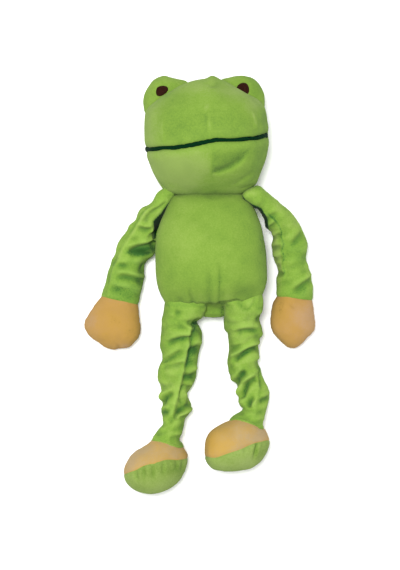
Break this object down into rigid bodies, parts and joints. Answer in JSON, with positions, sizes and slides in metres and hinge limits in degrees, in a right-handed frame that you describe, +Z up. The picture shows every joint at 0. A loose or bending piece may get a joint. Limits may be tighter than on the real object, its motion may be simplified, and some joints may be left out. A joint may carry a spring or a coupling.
{
  "type": "plush frog",
  "caption": "Green plush frog lying on its back: broad stuffed head with eye lobes and a stitched mouth, barrel body, long ruched arms and legs, tan hands, and feet with paler soles.",
  "frame": {"origin": "the middle of the outline seen from above, on the surface that the frog lies on", "axes": "+Z up, out of the face and belly; +Y towards the top of the head; -X is the frog's own right side"},
  "size_m": [0.2086, 0.3749, 0.0982],
  "materials": {
    "green_plush": "short-pile plush knit, yellow-green",
    "sole_plush": "short-pile plush knit, paler green",
    "tan_plush": "short-pile plush knit, golden tan",
    "dark_green_thread": "satin-stitch embroidery",
    "brown_thread": "satin-stitch embroidery",
    "filling": "loose polyester fibre",
    "elastic": "woven elastic tape"
  },
  "bodies": {
    "torso": {"torso_front_panel": "green_plush", "torso_back_panel": "green_plush", "torso_base_panel": "green_plush", "torso_filling": "filling"},
    "neck": {"neck_filling": "filling"},
    "head": {"head_top_right_panel": "green_plush", "head_top_left_panel": "green_plush", "chin_right_panel": "green_plush", "chin_left_panel": "green_plush", "head_back_panel": "green_plush", "mouth_line": "dark_green_thread", "head_filling": "filling", "right_eye_lobe": "green_plush", "right_eye_lobe_filling": "filling", "right_eye": "brown_thread", "left_eye_lobe": "green_plush", "left_eye_lobe_filling": "filling", "left_eye": "brown_thread"},
    "right_shoulder": {"right_shoulder_sleeve": "green_plush"},
    "right_upper_arm": {"right_upper_arm_sleeve": "green_plush", "right_upper_arm_filling": "filling", "right_upper_arm_elastic": "elastic"},
    "right_forearm": {"right_forearm_sleeve": "green_plush", "right_forearm_filling": "filling", "right_forearm_elastic": "elastic"},
    "right_hip": {"right_hip_sleeve": "green_plush"},
    "right_thigh": {"right_thigh_sleeve": "green_plush", "right_thigh_filling": "filling", "right_thigh_elastic": "elastic"},
    "right_shin": {"right_shin_sleeve": "green_plush", "right_shin_filling": "filling", "right_shin_elastic": "elastic"},
    "left_shoulder": {"left_shoulder_sleeve": "green_plush"},
    "left_upper_arm": {"left_upper_arm_sleeve": "green_plush", "left_upper_arm_filling": "filling", "left_upper_arm_elastic": "elastic"},
    "left_forearm": {"left_forearm_sleeve": "green_plush", "left_forearm_filling": "filling", "left_forearm_elastic": "elastic"},
    "left_hip": {"left_hip_sleeve": "green_plush"},
    "left_thigh": {"left_thigh_sleeve": "green_plush", "left_thigh_filling": "filling", "left_thigh_elastic": "elastic"},
    "left_shin": {"left_shin_sleeve": "green_plush", "left_shin_filling": "filling", "left_shin_elastic": "elastic"},
    "right_hand": {"right_hand_front_panel": "tan_plush", "right_hand_back_panel": "tan_plush", "right_hand_filling": "filling"},
    "left_hand": {"left_hand_front_panel": "tan_plush", "left_hand_back_panel": "tan_plush", "left_hand_filling": "filling"},
    "right_foot": {"right_foot_upper": "tan_plush", "right_foot_sole": "sole_plush", "right_foot_filling": "filling"},
    "left_foot": {"left_foot_upper": "tan_plush", "left_foot_sole": "sole_plush", "left_foot_filling": "filling"}
  },
  "joints": [
    {"name": "neck_turn", "type": "hinge", "parent": "torso", "child": "neck", "pos_m": [0.00691, 0.0791, 0.036], "axis": [0, 1, 0], "range_deg": [-25, 25], "stiffness_Nm_per_rad": 0.06},
    {"name": "head_nod", "type": "hinge", "parent": "neck", "child": "head", "pos_m": [0.00691, 0.0791, 0.036], "axis": [1, 0, 0], "range_deg": [-20, 12], "stiffness_Nm_per_rad": 0.06},
    {"name": "right_shoulder_raise", "type": "hinge", "parent": "torso", "child": "right_shoulder", "pos_m": [-0.0356, 0.07093, 0.03815], "axis": [0, 0, -1], "range_deg": [0, 60]},
    {"name": "right_shoulder_swing", "type": "hinge", "parent": "right_shoulder", "child": "right_upper_arm", "pos_m": [-0.04234, 0.06437, 0.03481], "axis": [-0.7406, 0.672, 0], "range_deg": [-20, 70]},
    {"name": "right_elbow", "type": "hinge", "parent": "right_upper_arm", "child": "right_forearm", "pos_m": [-0.05536, 0.04394, 0.02311], "axis": [-0.8997, 0.4364, 0], "range_deg": [-15, 60]},
    {"name": "right_wrist", "type": "hinge", "parent": "right_forearm", "child": "right_hand", "pos_m": [-0.07311, -0.01462, 0.0125], "axis": [-0.9743, 0.2251, 0], "range_deg": [-35, 40], "stiffness_Nm_per_rad": 0.01},
    {"name": "right_hip_swing", "type": "hinge", "parent": "torso", "child": "right_hip", "pos_m": [-0.01494, -0.03061, 0.042], "axis": [-1, 0, 0], "range_deg": [-12, 80]},
    {"name": "right_hip_spread", "type": "hinge", "parent": "right_hip", "child": "right_thigh", "pos_m": [-0.01734, -0.04804, 0.02083], "axis": [0, 0, -1], "range_deg": [-3, 35]},
    {"name": "right_knee", "type": "hinge", "parent": "right_thigh", "child": "right_shin", "pos_m": [-0.02104, -0.08214, 0.01376], "axis": [0.9927, -0.1202, 0], "range_deg": [-25, 60]},
    {"name": "right_ankle", "type": "hinge", "parent": "right_shin", "child": "right_foot", "pos_m": [-0.03012, -0.13896, 0.02319], "axis": [-0.9588, 0.2841, 0], "range_deg": [-25, 30], "stiffness_Nm_per_rad": 0.03},
    {"name": "left_shoulder_raise", "type": "hinge", "parent": "torso", "child": "left_shoulder", "pos_m": [0.05214, 0.07335, 0.03831], "axis": [0, 0, 1], "range_deg": [0, 60]},
    {"name": "left_shoulder_swing", "type": "hinge", "parent": "left_shoulder", "child": "left_upper_arm", "pos_m": [0.05985, 0.06784, 0.03518], "axis": [-0.6389, -0.7693, 0], "range_deg": [-20, 70]},
    {"name": "left_elbow", "type": "hinge", "parent": "left_upper_arm", "child": "left_forearm", "pos_m": [0.07599, 0.04969, 0.02377], "axis": [-0.8799, -0.4752, 0], "range_deg": [-15, 60]},
    {"name": "left_wrist", "type": "hinge", "parent": "left_forearm", "child": "left_hand", "pos_m": [0.08545, -0.0119, 0.0125], "axis": [-0.9978, -0.0663, 0], "range_deg": [-35, 40], "stiffness_Nm_per_rad": 0.01},
    {"name": "left_hip_swing", "type": "hinge", "parent": "torso", "child": "left_hip", "pos_m": [0.03835, -0.03061, 0.042], "axis": [-1, 0, 0], "range_deg": [-12, 80]},
    {"name": "left_hip_spread", "type": "hinge", "parent": "left_hip", "child": "left_thigh", "pos_m": [0.0389, -0.04769, 0.02014], "axis": [0, 0, 1], "range_deg": [-3, 35]},
    {"name": "left_knee", "type": "hinge", "parent": "left_thigh", "child": "left_shin", "pos_m": [0.04082, -0.07775, 0.01362], "axis": [0.9477, 0.3193, 0], "range_deg": [-25, 60]},
    {"name": "left_ankle", "type": "hinge", "parent": "left_shin", "child": "left_foot", "pos_m": [0.04556, -0.11885, 0.02086], "axis": [-0.9464, 0.3229, 0], "range_deg": [-25, 30], "stiffness_Nm_per_rad": 0.03}
  ]
}
